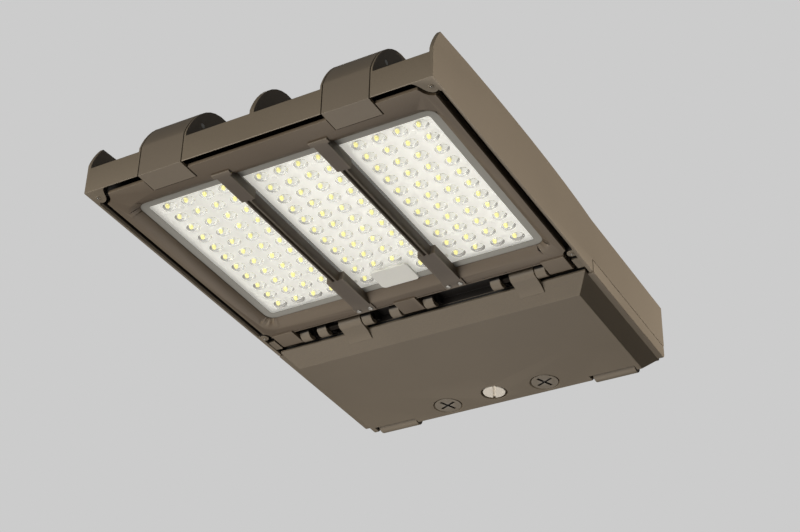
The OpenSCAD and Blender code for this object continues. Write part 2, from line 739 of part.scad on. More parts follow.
// Lens plate number p, from -1 on the left to 1 on the right, with its domes.
module lens_plate(p) {
    x0 = p < 0 ? -lens_hw : (p - 0.5) * panel_pitch + lens_gap / 2;
    x1 = p > 0 ? lens_hw : (p + 0.5) * panel_pitch - lens_gap / 2;
    color("#DDE6E8") placed() difference() {
        union() {
            block(x0, x1, lens_y0, lens_y1, lens_z, lens_z + lens_t);
            for (c = [0:led_cols - 1], r = [0:led_rows - 1])
                if (led_used(p, c, r))
                    translate([led_x(p, c), led_y(r), lens_z - dome_h])
                        cylinder(r1 = 0.3 * dome_d, r2 = dome_d / 2, h = dome_h + eps, $fn = 24);
        }
        for (s = lens_screw_spots())
            rod_z(s[0], s[1], 1.3, lens_z - 1, lens_z + lens_t + 1);
    }
}

// Places of the LEDs, and whether one is fitted: the connector takes the room of two.
function led_x(p, c) = p * panel_pitch + (c - (led_cols - 1) / 2) * col_pitch;
function led_y(r) = led_y0 + r * row_pitch;
function led_used(p, c, r) = !(p == 0 && r == led_rows - 1 && c > 0 && c < led_cols - 1);

module lens_left() {
    lens_plate(-1);
}

module lens_mid() {
    lens_plate(0);
}

module lens_right() {
    lens_plate(1);
}

// Small screw along Z with its head below.
module down_screw(s, shank_r, head_r, head_t, z0, z1) {
    rod_z(s[0], s[1], head_r, z0 - head_t, z0);
    rod_z(s[0], s[1], shank_r, z0 - eps, z1);
}

module lens_screws() {
    color("#B9BDC0") placed()
        for (s = lens_screw_spots()) {
            rod_z(s[0], s[1], 2, lens_z + lens_t, lens_z + lens_t + 1.3);
            rod_z(s[0], s[1], 1.15, lens_z - screw_bite, lens_z + lens_t + eps);
        }
}

// Cover of the boards' plug, on the middle lens plate, lapping over the gasket's border.
module connector_cover() {
    cover_y0 = led_y(led_rows - 1) - cover_reach;
    cover_top = ledge_z - 0.1;
    color("#E9EDEA") placed() {
        round_slab(-cover_w / 2, cover_w / 2, cover_y0, win_y1 - 0.4, lens_z - cover_t, cover_top, 4);
        round_slab(-cover_w / 2, cover_w / 2, cover_y0, win_y1 - gasket_border - 0.4,
            cover_top - eps, lens_z, 4);
    }
}

// Divider bar between two lens plates, with a T head at the nose and a foot at the rear.
module divider(x) {
    tee_y = win_y0 - tee_nose;
    neck_y = win_y0 + neck_l;
    clip_y = win_y1 - clip_l;
    bar_top = ledge_z - 0.1;
    ridge_drop = bar_drop + 1;
    lift = 0.05;
    color("#5D4F43") placed() translate([x, 0, 0]) difference() {
        union() {
            block(-tee_w / 2, tee_w / 2, tee_y, tee_y + tee_l, -bar_drop, -lift);
            block(-neck_w / 2, neck_w / 2, tee_y, win_y0 - bevel_nose, -bar_drop, -lift);
            along_x([[win_y0 - bevel_nose, -bar_drop], [win_y0 - bevel_nose, -lift],
                [win_y0 + 0.2, bevel_h - lift], [win_y0 + 0.2, bar_top],
                [neck_y, bar_top], [neck_y, -bar_drop]], -neck_w / 2, neck_w / 2);
            block(-bar_w / 2, bar_w / 2, neck_y - eps, clip_y + eps, 0, bar_top);
            for (s = [-1, 1])
                along_y([[s * 1.2, eps], [s * 1.2, -ridge_drop + 0.6], [s * 2, -ridge_drop],
                    [s * 3, -ridge_drop], [s * bar_w / 2, eps]], neck_y - eps, clip_y + eps);
            along_x([[clip_y, -bar_drop], [clip_y, bar_top], [win_y1 - 0.2, bar_top],
                [win_y1 - 0.2, bevel_h - lift], [win_y1 + bevel_rear, -lift],
                [win_y1 + bevel_rear, -bar_drop]], -tee_w / 2, tee_w / 2);
            block(-foot_w / 2, foot_w / 2, win_y1 + bevel_rear - eps, groove_y - 0.2,
                -bar_drop, -lift);
        }
        for (d = [-6, 6])
            rod_z(d, frame_rear_y - 7, 1.2, -bar_drop - 1, 1);
    }
}

module divider_left() {
    divider(-divider_x);
}

module divider_right() {
    divider(divider_x);
}

module divider_screws() {
    color("#8F8676") placed()
        for (s = foot_screw_spots())
            down_screw(s, 1.15, 2.4, 1, -bar_drop, frame_t - 0.5);
}

// Circuit board number p, on the heat sink plate.
module led_board(p) {
    board_hw = (panel_pitch - lens_gap) / 2 - board_margin;
    board_out = win_hw - board_margin;
    x0 = p < 0 ? -board_out : p * panel_pitch - board_hw;
    x1 = p > 0 ? board_out : p * panel_pitch + board_hw;
    color("#F2F2EE") placed() difference() {
        block(x0, x1, win_y0 + board_margin, win_y1 - board_rear, board_z, plate_z);
        for (s = board_screw_spots())
            rod_z(s[0], s[1], 1.6, board_z - 1, plate_z + 1);
        for (s = [-1, 1])
            rod_z(s * lead_x, duct_y, lead_d / 2, board_z - 1, plate_z + 1);
    }
}

module led_board_left() {
    led_board(-1);
}

module led_board_mid() {
    led_board(0);
}

module led_board_right() {
    led_board(1);
}

module led_packages() {
    color("#F2E27A") placed()
        for (p = [-1:1], c = [0:led_cols - 1], r = [0:led_rows - 1])
            if (led_used(p, c, r))
                block(led_x(p, c) - led_w / 2, led_x(p, c) + led_w / 2, led_y(r) - led_w / 2,
                    led_y(r) + led_w / 2, board_z - led_t, board_z);
}

module board_screws() {
    color("#B9BDC0") placed()
        for (s = board_screw_spots())
            down_screw(s, 1.5, 2.7, 1.2, board_z, plate_z + 3.6);
}

module board_jumpers() {
    color("#F5F5F5") placed()
        for (s = [-1, 1])
            block(s * divider_x - jumper_hw, s * divider_x + jumper_hw,
                win_y1 - jumper_rear - jumper_l, win_y1 - jumper_rear, board_z - 1.3, board_z);
}

// ---- Hinge line and corner screws ----

module hinge_pins() {
    color("#A8A8A8") placed()
        for (p = pins)
            rod_x(hinge_y, hinge_z, pin_d / 2, p[0], p[1]);
}

module corner_screws() {
    color("#B9AFA0") placed()
        for (s = corner_spots())
            down_screw(s, 1.6, 2.3, 0.9, 0, corner_screw_l);
}

// ---- Latches ----

// Latch at x: nose plate with a lower tab, curved top and two webs that carry the pivot tube.
module latch(x) {
    web_t = 3;
    web_y = nose_y + latch_t - 1;
    tail = nose_point(latch_tail_t, latch_t);
    color("#6E6453") placed() translate([x, 0, 0]) difference() {
        union() {
            along_x(concat(
                [[nose_y + tab_l, -border_drop], [nose_y, -border_drop]],
                nose_curve(latch_tail_t, 0, 10),
                [for (i = [10:-1:0]) nose_point(latch_tail_t * i / 10, latch_t)],
                [[nose_y + latch_t, frame_t - border_drop], [nose_y + tab_l, frame_t - border_drop]]),
                -latch_w / 2, latch_w / 2);
            for (s = [-1, 1])
                along_x(concat(
                    [[web_y, plate_top + 3], [web_y, face_h]],
                    nose_curve(latch_tail_t, 1, 8),
                    [[tail[0] - 1, tail[1]], [latch_pivot_y + 5, pivot_z + 2],
                     [latch_pivot_y + 5, pivot_z - 4]]),
                    s > 0 ? latch_w / 2 - web_t : -latch_w / 2, s > 0 ? latch_w / 2 : -latch_w / 2 + web_t);
            rod_x(latch_pivot_y, pivot_z, latch_pin_d / 2 + 3, -latch_w / 2, latch_w / 2);
        }
        rod_x(latch_pivot_y, pivot_z, latch_pin_d / 2 + pin_play, -latch_w, latch_w);
    }
}

module latch_left() {
    latch(-latch_x);
}

module latch_right() {
    latch(latch_x);
}

module latch_pins() {
    color("#A8A8A8") placed() both_sides()
        rod_x(latch_pivot_y, pivot_z, latch_pin_d / 2, latch_x - latch_w / 2 - latch_gap - cheek_t,
            latch_x + latch_w / 2 + latch_gap + cheek_t);
}

// Detent strips on the heat sink plate, under the latches' tails.
module latch_springs() {
    strip_t = 1;
    strip_hw = 6;
    bend_l = 7;
    bend_h = 4.4;
    y0 = latch_pivot_y - 12;
    y1 = latch_pivot_y;
    z1 = plate_top + strip_t;
    color("#B9BDC0") placed() both_sides()
        along_x([[y0, plate_top], [y0, z1], [y1, z1], [y1 + bend_l, plate_top + bend_h],
            [y1 + 2 * bend_l, z1], [y1 + 2 * bend_l + 12, z1], [y1 + 2 * bend_l + 12, plate_top]],
            latch_x - strip_hw, latch_x + strip_hw);
}

// ---- Driver bay door ----

// How far a sloping face's foot moves when its skin is set inwards by t.
function foot_shift(t, run, drop) = t * (norm([run, drop]) - run) / drop;

// Door's outline in Y and Z, with its skin moved inwards by t.
function door_side(t, top) = let(
    lip = -door_lip + t * norm([slope_run, drop_run]) / drop_run,
    rear_drop = drop_run - 0.5
) [
    [lip, top],
    [lip, -border_drop],
    [-door_lip + slope_run + foot_shift(t, slope_run, drop_run), -door_drop + t],
    [door_rear_y - 2 - rear_run - foot_shift(t, rear_run, rear_drop), -door_drop + t],
    [door_rear_y - 2 - t * norm([rear_run, rear_drop]) / rear_drop, -border_drop - 0.5],
    [door_rear_y - t * 1.5, -border_drop + t / 2],
    [door_rear_y - t * 1.5, top]
];

// Door's outline in X and Z, with its skin moved inwards by t.
function door_front(t, top) = let(
    border = border_hw - t * norm([chamfer_run, drop_run]) / drop_run,
    panel = panel_hw - foot_shift(t, chamfer_run, drop_run)
) [
    [-border, top], [-border, -border_drop], [-panel, -door_drop + t],
    [panel, -door_drop + t], [border, -border_drop], [border, top]
];

// Solid bounded by the door's outer skin.
module door_body(t, top) {
    intersection() {
        along_x(door_side(t, top), -half_w, half_w);
        along_y(door_front(t, top), -door_lip - 1, 0);
    }
}

// Door's hinge knuckle with the leaf that laps over the sloping face.
module door_knuckle(x) {
    rod_x(hinge_y, hinge_z, knuckle_r, x - door_knuckle_w / 2, x + door_knuckle_w / 2);
    along_x([[hinge_y, hinge_z - knuckle_r], [-door_lip - 2, -3.2], [-door_lip + 6.3, -7.2],
        [-door_lip + 8, -6], [-door_lip + 1, border_drop], [hinge_y + knuckle_r - 1, hinge_z - 2]],
        x - door_knuckle_w / 2, x + door_knuckle_w / 2);
}

module driver_door() {
    color("#665A4B") placed() difference() {
        union() {
            difference() {
                door_body(0, rail_z);
                door_body(door_t, rail_z + 1);
            }
            intersection() {
                door_body(0.2, rail_z);
                seal_wall(-0.9, ring_t + 0.9, -door_drop, rail_z);
            }
            both_sides() {
                block(border_hw - door_t, half_w, -door_l, door_rear_y, -border_drop, rail_z);
                block(half_w - wall_t, half_w, -door_l, door_rear_y, -border_drop, band_h);
            }
            block(-half_w, half_w, door_rear_y - 3, door_rear_y, -border_drop, band_h);
            for (x = door_knuckles)
                door_knuckle(x);
            intersection() {
                for (s = fastener_spots())
                    rod_z(s[0], s[1], stud_ring_d / 2 + 2, -door_drop, -door_drop + head_t + 4.5);
                door_body(0.2, rail_z);
            }
        }
        for (x = door_knuckles)
            rod_x(hinge_y, hinge_z, pin_d / 2 + pin_play, x - door_knuckle_w, x + door_knuckle_w);
        both_sides()
            block(lug_x - lug_w / 2 - lug_gap, lug_x + lug_w / 2 + lug_gap, lug_y - lug_r - 2.5, 1,
                -door_drop - 1, band_h + 1);
        for (s = fastener_spots())
            rod_z(s[0], s[1], shank_d / 2 + 2, -door_drop - 1, rail_z + 1);
        for (s = [-1, 1])
            translate([s * stud_x, stud_y, -door_drop]) {
                rod_z(0, 0, stud_head_d / 2 + 0.3, -1, head_t + 0.3);
                translate([0, 0, -0.01])
                    cylinder(d1 = stud_ring_d, d2 = stud_head_d + 0.6, h = 1.6);
            }
        rod_z(0, slot_y, slot_well_d / 2, -door_drop - 1, -door_drop + head_t + 0.8);
        both_sides()
            along_x(concat([[1, -door_drop]], [[-border_r - door_rear_gap, -door_drop]],
                [for (a = [0:15:90]) [door_rear_y - border_r + border_r * sin(a),
                    border_r - border_drop - border_r * cos(a)]], [[1, border_r - border_drop]]),
                border_hw + 0.01, half_w + 1);
    }
}

module door_gasket() {
    color("#2B2B2B") placed()
        seal_wall(-0.5, ring_t + 0.5, rail_z, ring_z - seal_gap);
}

// Flanged sleeves that keep the fasteners captive in the door.
module stud_sleeves() {
    top = -door_drop + head_t + 6.5;
    color("#9A9DA0") placed()
        for (s = fastener_spots())
            difference() {
                union() {
                    rod_z(s[0], s[1], shank_d / 2 + 2, -door_drop + head_t + 1.2, top);
                    rod_z(s[0], s[1], shank_d / 2 + 4, -door_drop + head_t + 4.5, top);
                }
                rod_z(s[0], s[1], shank_d / 2 + pin_play, -door_drop, top + 1);
            }
}

// Slotted lock plates under the bay's lock shelf.
module stud_receptacles() {
    color("#9A9DA0") placed()
        for (s = fastener_spots())
            translate([s[0], s[1], lock_plate_z]) difference() {
                block(-15, 15, -15, 15, 0, lock_plate_t);
                block(-wing_t / 2 - 1, wing_t / 2 + 1, -wing_l / 2 - 2.2, wing_l / 2 + 2.2,
                    -1, lock_plate_t + 1);
                rod_z(0, 0, shank_d / 2 + 1.2, -1, lock_plate_t + 1);
            }
}

// Shank and locking wings of a fastener at spot s, from its head's top up.
module stud_shank(s) {
    rod_z(s[0], s[1], shank_d / 2, -door_drop + head_t - eps, wing_z + wing_t);
    block(s[0] - wing_t / 2, s[0] + wing_t / 2, s[1] - wing_l / 2, s[1] + wing_l / 2,
        wing_z, wing_z + wing_t);
}

// Cross-recess fastener.
module door_stud(s, turn) {
    recess_l = 19;
    recess_w = 2.6;
    color("#6A5E50") placed() {
        difference() {
            rod_z(s[0], s[1], stud_head_d / 2, -door_drop + 0.2, -door_drop + head_t);
            for (a = [0, 90])
                translate([s[0], s[1], -door_drop]) rotate([0, 0, turn + a])
                    block(-recess_l / 2, recess_l / 2, -recess_w / 2, recess_w / 2, -1, 2.2);
        }
        stud_shank(s);
    }
}

module door_stud_left() {
    door_stud([-stud_x, stud_y], 66);
}

module door_stud_right() {
    door_stud([stud_x, stud_y], 66);
}

module quarter_turn() {
    slot_deg = 115;
    color("#C9C4BC") placed() {
        difference() {
            rod_z(0, slot_y, slot_head_d / 2, -door_drop + 0.3, -door_drop + head_t + 0.6);
            translate([0, slot_y, -door_drop]) rotate([0, 0, slot_deg])
                block(-slot_head_d, slot_head_d, -1.2, 1.2, -1, 2);
        }
        stud_shank([0, slot_y]);
    }
}

// ---- Bay contents ----

module driver() {
    foot = 9;
    color("#D8D8D4") placed() {
        block(-driver_l / 2 + foot, driver_l / 2 - foot, driver_y - driver_w / 2, driver_y + driver_w / 2,
            roof_z - driver_h, roof_z);
        difference() {
            block(-driver_l / 2, driver_l / 2, driver_y - driver_w / 2, driver_y + driver_w / 2,
                roof_z - 2, roof_z);
            for (s = driver_screw_spots())
                rod_z(s[0], s[1], 2.2, roof_z - 3, roof_z + 1);
        }
    }
}

function driver_screw_spots() = [for (s = [-1, 1], d = [-0.5, 0.5])
    [s * (driver_l / 2 - 4.5), driver_y + d * driver_screw_dy]];

module driver_screws() {
    color("#B9BDC0") placed()
        for (s = driver_screw_spots())
            down_screw(s, 2, 3.6, 2.2, roof_z - 2, roof_z + 1.7);
}

module surge_protector() {
    color("#2F3133") placed()
        block(bay_hw - shell_t - surge_w - 4, bay_hw - shell_t - 4, -shelf_front,
            surge_dy - shelf_front, roof_z - surge_h, roof_z);
}

module terminal_block() {
    color("#ECEBE4") placed() difference() {
        block(terminal_x, terminal_x + terminal_l, -shelf_front, terminal_dy - shelf_front,
            roof_z - terminal_h, roof_z);
        for (i = [0:2])
            rod_z(terminal_x + terminal_l * (i + 0.5) / 3, terminal_dy / 2 - shelf_front, 3,
                roof_z - terminal_h - 1, roof_z - terminal_h + 6);
    }
}

// Frames along a route: at each point the bisecting direction and a side direction carried along.
function unit(v) = v / norm(v);
function bend(pts, i) = unit(
    (i > 0 ? unit(pts[i] - pts[i - 1]) : [0, 0, 0])
    + (i < len(pts) - 1 ? unit(pts[i + 1] - pts[i]) : [0, 0, 0]));
function square_to(v, d) = unit(v - (v * d) * d);
function start_side(d) = square_to(abs(d[0]) < 0.8 ? [1, 0, 0] : [0, 1, 0], d);

// Lead along a route with rounded bends, as one eight-sided tube.
module lead(route) {
    sides = 8;
    pts = rounded(route, 5);
    n = len(pts);
    side = [for (i = 0, v = start_side(bend(pts, 0)); i < n;
        i = i + 1, v = i < n ? square_to(v, bend(pts, i)) : v) v];
    rings = [for (i = [0:n - 1], k = [0:sides - 1])
        pts[i] + lead_d / 2 * (cos(360 * k / sides) * side[i]
            + sin(360 * k / sides) * cross(bend(pts, i), side[i]))];
    polyhedron(rings, concat(
        [[for (k = [0:sides - 1]) k]],
        [[for (k = [sides - 1:-1:0]) (n - 1) * sides + k]],
        [for (i = [0:n - 2], k = [0:sides - 1], h = [0, 1]) let(j = (k + 1) % sides)
            h == 0 ? [i * sides + k, (i + 1) * sides + j, i * sides + j]
                   : [i * sides + k, (i + 1) * sides + k, (i + 1) * sides + j]]));
}

// Route with each inner corner replaced by a short curve of radius about r.
function rounded(p, r) = concat([p[0]], [for (i = [1:len(p) - 2], k = [0:3])
    let(a = p[i] + min(r, norm(p[i - 1] - p[i]) / 2.2) * unit(p[i - 1] - p[i]),
        b = p[i] + min(r, norm(p[i + 1] - p[i]) / 2.2) * unit(p[i + 1] - p[i]))
    [quad(k / 3, a[0], p[i][0], b[0]), quad(k / 3, a[1], p[i][1], b[1]), quad(k / 3, a[2], p[i][2], b[2])]],
    [p[len(p) - 1]]);

module led_leads() {
    low = roof_z - driver_h;
    color("#D8D0C0") placed()
        for (s = [-1, 1])
            lead([[s * 14, driver_y - 12, low], [s * 14, driver_y - 12, low - 8],
                [s * lead_x, bay_y + 12, duct_z], [s * lead_x, duct_y, duct_z],
                [s * lead_x, duct_y, board_z - 0.3]]);
}

module supply_leads() {
    low = roof_z - terminal_h;
    under = roof_z - driver_h;
    entry_y = terminal_dy - shelf_front - 4;
    back_y = 4 - shelf_front;
    color("#303030") placed() {
        for (i = [0:2])
            let(x = terminal_x + terminal_l * (i + 0.5) / 3, z = mount_h + 5 - 5 * i)
                lead([[x, entry_y, low], [x, entry_y, low - 8], [-6 + 6 * i, -26, z],
                    [-6 + 6 * i, -pad_t - 3, z]]);
        for (i = [0:1])
            let(x = terminal_x + terminal_l * (i + 1) / 3, x1 = terminal_x + 26 + 8 * i)
                lead([[x, back_y, low], [x, back_y, under - 8], [x1, driver_y + 14, under - 8],
                    [x1, driver_y + 14, under]]);
    }
}

module grommets() {
    color("#262626") placed() {
        difference() {
            union() {
                rod_y(0, mount_h, entry_d / 2, -pad_t - 2, -0.5);
                rod_y(0, mount_h, entry_d / 2 + 2, -pad_t - 2, -pad_t);
            }
            rod_y(0, mount_h, entry_bore / 2, -pad_t - 3, 1);
        }
        difference() {
            rod_y(0, duct_z, bush_r, bay_y, bay_y + bay_wall + 1);
            for (s = [-1, 1])
                rod_y(s * lead_x, duct_z, lead_d / 2, bay_y - 2, bay_y + bay_wall + 2);
        }
    }
}

housing();
optical_frame();
lens_gasket();
frame_seal();
lens_left();
lens_mid();
lens_right();
lens_screws();
connector_cover();
divider_left();
divider_right();
divider_screws();
led_board_left();
led_board_mid();
led_board_right();
led_packages();
board_screws();
board_jumpers();
hinge_pins();
corner_screws();
latch_left();
latch_right();
latch_pins();
latch_springs();
driver_door();
door_gasket();
stud_sleeves();
stud_receptacles();
door_stud_left();
door_stud_right();
quarter_turn();
driver();
driver_screws();
surge_protector();
terminal_block();
led_leads();
supply_leads();
grommets();
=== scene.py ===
import json
import math

import bmesh
import bpy
import numpy as np
from mathutils import Matrix, Vector


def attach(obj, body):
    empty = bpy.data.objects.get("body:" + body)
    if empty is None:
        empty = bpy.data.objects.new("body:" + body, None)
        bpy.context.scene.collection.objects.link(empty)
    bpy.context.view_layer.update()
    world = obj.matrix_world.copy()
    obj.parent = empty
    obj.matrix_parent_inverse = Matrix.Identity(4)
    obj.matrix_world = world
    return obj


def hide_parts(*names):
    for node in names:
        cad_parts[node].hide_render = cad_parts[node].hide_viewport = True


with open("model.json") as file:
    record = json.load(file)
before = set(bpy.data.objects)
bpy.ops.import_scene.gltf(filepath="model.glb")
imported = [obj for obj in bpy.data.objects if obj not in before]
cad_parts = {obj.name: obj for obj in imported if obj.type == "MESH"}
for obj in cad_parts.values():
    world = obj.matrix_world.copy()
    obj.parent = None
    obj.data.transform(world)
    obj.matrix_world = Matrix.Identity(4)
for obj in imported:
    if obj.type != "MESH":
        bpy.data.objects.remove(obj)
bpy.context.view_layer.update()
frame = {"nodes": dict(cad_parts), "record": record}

# ---- Studio ----
# The light hangs face down over a pale floor, seen from below its nose. Soft banks stand below,
# before the nose, to the left and to the right, a dim one lights the trough and one hangs above.

MM = 0.001
RIM = -42.0  # height of the housing's rim in the CAD frame, in millimetres
AIR_STRENGTH = 0.12
FLOOR_Z, FLOOR_REACH = -2.0, 4.0
CARD_X, CARD_Y, CARD_Z = (0.17, 1.6), (-1.2, 1.0), (-0.044, -0.87)


def linear(code):
    """Linear colour of an sRGB hex value: ((c + 0.055) / 1.055) ^ 2.4 above 0.04045, c / 12.92 below."""
    value = np.array([int(code[i:i + 2], 16) for i in (1, 3, 5)]) / 255
    curve = np.where(value > 0.04045, ((value + 0.055) / 1.055) ** 2.4, value / 12.92)
    return (*curve.tolist(), 1.0)


def add(tree, kind, settings=None, inputs=None):
    """Adds a node, sets its attributes, and sets or links its input sockets."""
    node = tree.nodes.new(kind)
    for name, value in (settings or {}).items():
        setattr(node, name, value)
    for name, value in (inputs or {}).items():
        if isinstance(value, bpy.types.NodeSocket):
            tree.links.new(value, node.inputs[name])
        else:
            node.inputs[name].default_value = value
    return node


def blend(tree, share, low, high):
    """Colour between two others, by a share from 0 to 1."""
    return add(tree, "ShaderNodeMix", {"data_type": "RGBA"}, {0: share, 6: low, 7: high}).outputs[2]


def new_material(name):
    """Empty node material, its tree, and the object coordinates in it."""
    material = bpy.data.materials.new(name)
    material.use_nodes = True
    tree = material.node_tree
    tree.nodes.clear()
    return material, tree, add(tree, "ShaderNodeTexCoord").outputs["Object"]


def surface(tree, inputs):
    """Principled surface with the given inputs, linked to the material's output."""
    shader = add(tree, "ShaderNodeBsdfPrincipled", inputs=inputs)
    add(tree, "ShaderNodeOutputMaterial", inputs={"Surface": shader.outputs[0]})


def mottled(name, low, high, per_metre, detail, more):
    """Matt material whose colour wanders between two tones, with further surface inputs."""
    material, tree, place = new_material(name)
    patches = add(tree, "ShaderNodeTexNoise", inputs={
        "Vector": place, "Scale": per_metre, "Detail": detail})
    tone = blend(tree, patches.outputs[0], linear(low), linear(high))
    surface(tree, {"Base Color": tone, **more})
    return material


def new_object(name, mesh, material):
    """Object at the origin with a mesh and its material, linked to the scene."""
    mesh.materials.append(material)
    piece = bpy.data.objects.new(name, mesh)
    bpy.context.scene.collection.objects.link(piece)
    return piece


def sheet(name, corners, material):
    """Flat four-cornered sheet."""
    mesh = bpy.data.meshes.new(name)
    mesh.from_pydata(corners, [], [(0, 1, 2, 3)])
    return new_object(name, mesh, material)


def bank(name, place, aim, width, height, watts, colour):
    """Rectangular soft light at a place, facing a point."""
    data = bpy.data.lights.new(name, "AREA")
    data.shape = "RECTANGLE"
    data.size, data.size_y = width, height
    data.energy = watts
    data.color = colour
    lamp = bpy.data.objects.new(name, data)
    bpy.context.scene.collection.objects.link(lamp)
    direction = Vector(aim) - Vector(place)
    lamp.matrix_world = (Matrix.Translation(place)
                         @ direction.to_track_quat("-Z", "Y").to_matrix().to_4x4())


camera_data = bpy.data.cameras.new("camera")
camera_data.lens = 73.5
camera_data.sensor_width = 36.0
camera_data.clip_start = 0.05
camera_data.clip_end = 30.0
camera = bpy.data.objects.new("camera", camera_data)
bpy.context.scene.collection.objects.link(camera)
right = Vector((0.87464, 0.48432, 0.02113))
back = Vector((0.41517, -0.72582, -0.54847))
turn = Matrix((right, back.cross(right), back)).transposed()
camera.matrix_world = Matrix.Translation((0.617146, -1.308896, -0.835010)) @ turn.to_4x4()
bpy.context.scene.camera = camera

# The backdrop is grey paper where it is seen, and dim cool air where it lights the part.
bpy.context.scene.view_settings.view_transform = "Standard"
world = bpy.data.worlds.new("studio_air")
world.use_nodes = True
sky = world.node_tree
sky.nodes.clear()
rays = add(sky, "ShaderNodeLightPath")
seen = add(sky, "ShaderNodeMath", {"operation": "MAXIMUM"},
           {0: rays.outputs["Is Camera Ray"], 1: rays.outputs["Is Transmission Ray"]})
air = add(sky, "ShaderNodeBackground", inputs={
    "Color": (0.98, 0.99, 1.0, 1), "Strength": AIR_STRENGTH})
paper = add(sky, "ShaderNodeBackground", inputs={"Color": linear("#CCCCCC"), "Strength": 1.0})
choice = add(sky, "ShaderNodeMixShader", inputs={
    0: seen.outputs[0], 1: air.outputs[0], 2: paper.outputs[0]})
add(sky, "ShaderNodeOutputWorld", inputs={"Surface": choice.outputs[0]})
bpy.context.scene.world = world

bank("left_bank", (-0.68, -0.55, -1.40), (0.0, -0.20, -0.04), 1.1, 0.9, 5.0, (1.0, 0.96, 0.93))
bank("nose_bank", (-0.66, -2.20, -0.66), (0.0, -0.30, -0.02), 1.6, 0.8, 28.0, (1.0, 0.98, 0.95))
bank("rear_bank", (-0.20, 0.25, -0.70), (0.0, -0.08, -0.05), 0.5, 0.5, 1.4, (1.0, 0.95, 0.90))
bank("right_bank", (1.65, 0.25, -0.62), (0.1, -0.18, -0.02), 1.2, 0.4, 37.0, (1.0, 0.96, 0.93))
bank("top_bank", (-0.7, 1.40, 1.30), (0.0, -0.20, 0.0), 1.4, 1.4, 26.0, (1.0, 0.99, 0.98))

# Pale matt floor paint with a faint mottle.
floor_paint = mottled("pale_floor_paint", "#D6D5D3", "#DCDBD9", 40.0, 3.0, {"Roughness": 0.8})
floor = sheet("floor", [(x * FLOOR_REACH, y * FLOOR_REACH, FLOOR_Z)
                        for x, y in ((-1, -1), (1, -1), (1, 1), (-1, 1))], floor_paint)

# A black velvet card, unseen by the camera, keeps the right bank off the underside.
black_velvet = mottled("black_velvet", "#0A0A0A", "#121212", 300.0, 2.0,
                       {"Roughness": 1.0, "Specular IOR Level": 0.0})
flag = sheet("flag", [(CARD_X[i], CARD_Y[j], CARD_Z[i])
                      for i, j in ((0, 0), (1, 0), (1, 1), (0, 1))], black_velvet)
flag.visible_camera = False

# ---- Housing casting ----
# One aluminium die casting: side walls, nose lip, ribs, fins, hinge straps and the driver bay.
# It is powder coated in dark bronze with a fine sandy texture, rubbed lighter on its edges, which
# is wear and painted edge highlight both; its cavity and trough are painted near black as painted shade.

# The lighter edge tone is wear and painted edge highlight both.
COAT, RUB_AND_HIGHLIGHT = linear("#6E6250"), linear("#9A8C78")
# The near-black tone of the painted shade in the cavity, the hinge trough and the cross recesses.
PAINTED_SHADE = linear("#1F1A15")
GRIT_MM, CLOUD_MM = 1.4, 90
WELD_MM, SLIVER_MM = 0.02, 0.01
FLAT_WITHIN = math.radians(0.8)
SEAMS = (((0, 0, 0), (1, 0, 0)), ((0, -0.33, 0), (0, 1, 0)), ((0, -0.1, 0), (0, 1, 0)))
# Boxes painted near black as painted shade: the closed space behind the optics and the hinge trough.
SHADE_BOXES = (((-161.7, -471.3, 0.8), (161.7, -207.0, 13.8)),
          ((-161.7, -207.0, 2.5), (161.7, -175.5, 14.2)))

body_of = {node: body for body, nodes in frame["record"]["behaviour"]["bodies"].items()
           for node in nodes}


def shade(colour, share):
    """Colour made darker or lighter by a share, at most white."""
    return tuple(min(1.0, share * c) for c in colour[:3]) + (1.0,)


def ramp(tree, value, low, high, at_low, at_high):
    """Value that runs from at_low to at_high as another runs from low to high."""
    return add(tree, "ShaderNodeMapRange", inputs={
        0: value, 1: low, 2: high, 3: at_low, 4: at_high}).outputs[0]


def bumps(tree, height, strength, depth_mm):
    """Surface normal tipped by fine bumps."""
    return add(tree, "ShaderNodeBump", inputs={
        "Height": height, "Strength": strength, "Distance": depth_mm * MM}).outputs[0]


def within(tree, place, low, high):
    """1 inside a box given in millimetres above the rim, 0 outside: the largest of |x - middle| - half
    over the three axes is under 0 there."""
    middle = [(a + b) / 2 * MM for a, b in zip(low, high)]
    middle[2] += RIM * MM
    off = place
    for step, other in (("SUBTRACT", middle), ("ABSOLUTE", (0, 0, 0)),
                        ("SUBTRACT", [(b - a) / 2 * MM for a, b in zip(low, high)])):
        off = add(tree, "ShaderNodeVectorMath", {"operation": step}, {0: off, 1: other}).outputs[0]
    axes = add(tree, "ShaderNodeSeparateXYZ", inputs={0: off}).outputs
    out = axes[0]
    for step, other in (("MAXIMUM", axes[1]), ("MAXIMUM", axes[2]), ("LESS_THAN", 0.0)):
        out = add(tree, "ShaderNodeMath", {"operation": step}, {0: out, 1: other}).outputs[0]
    return out


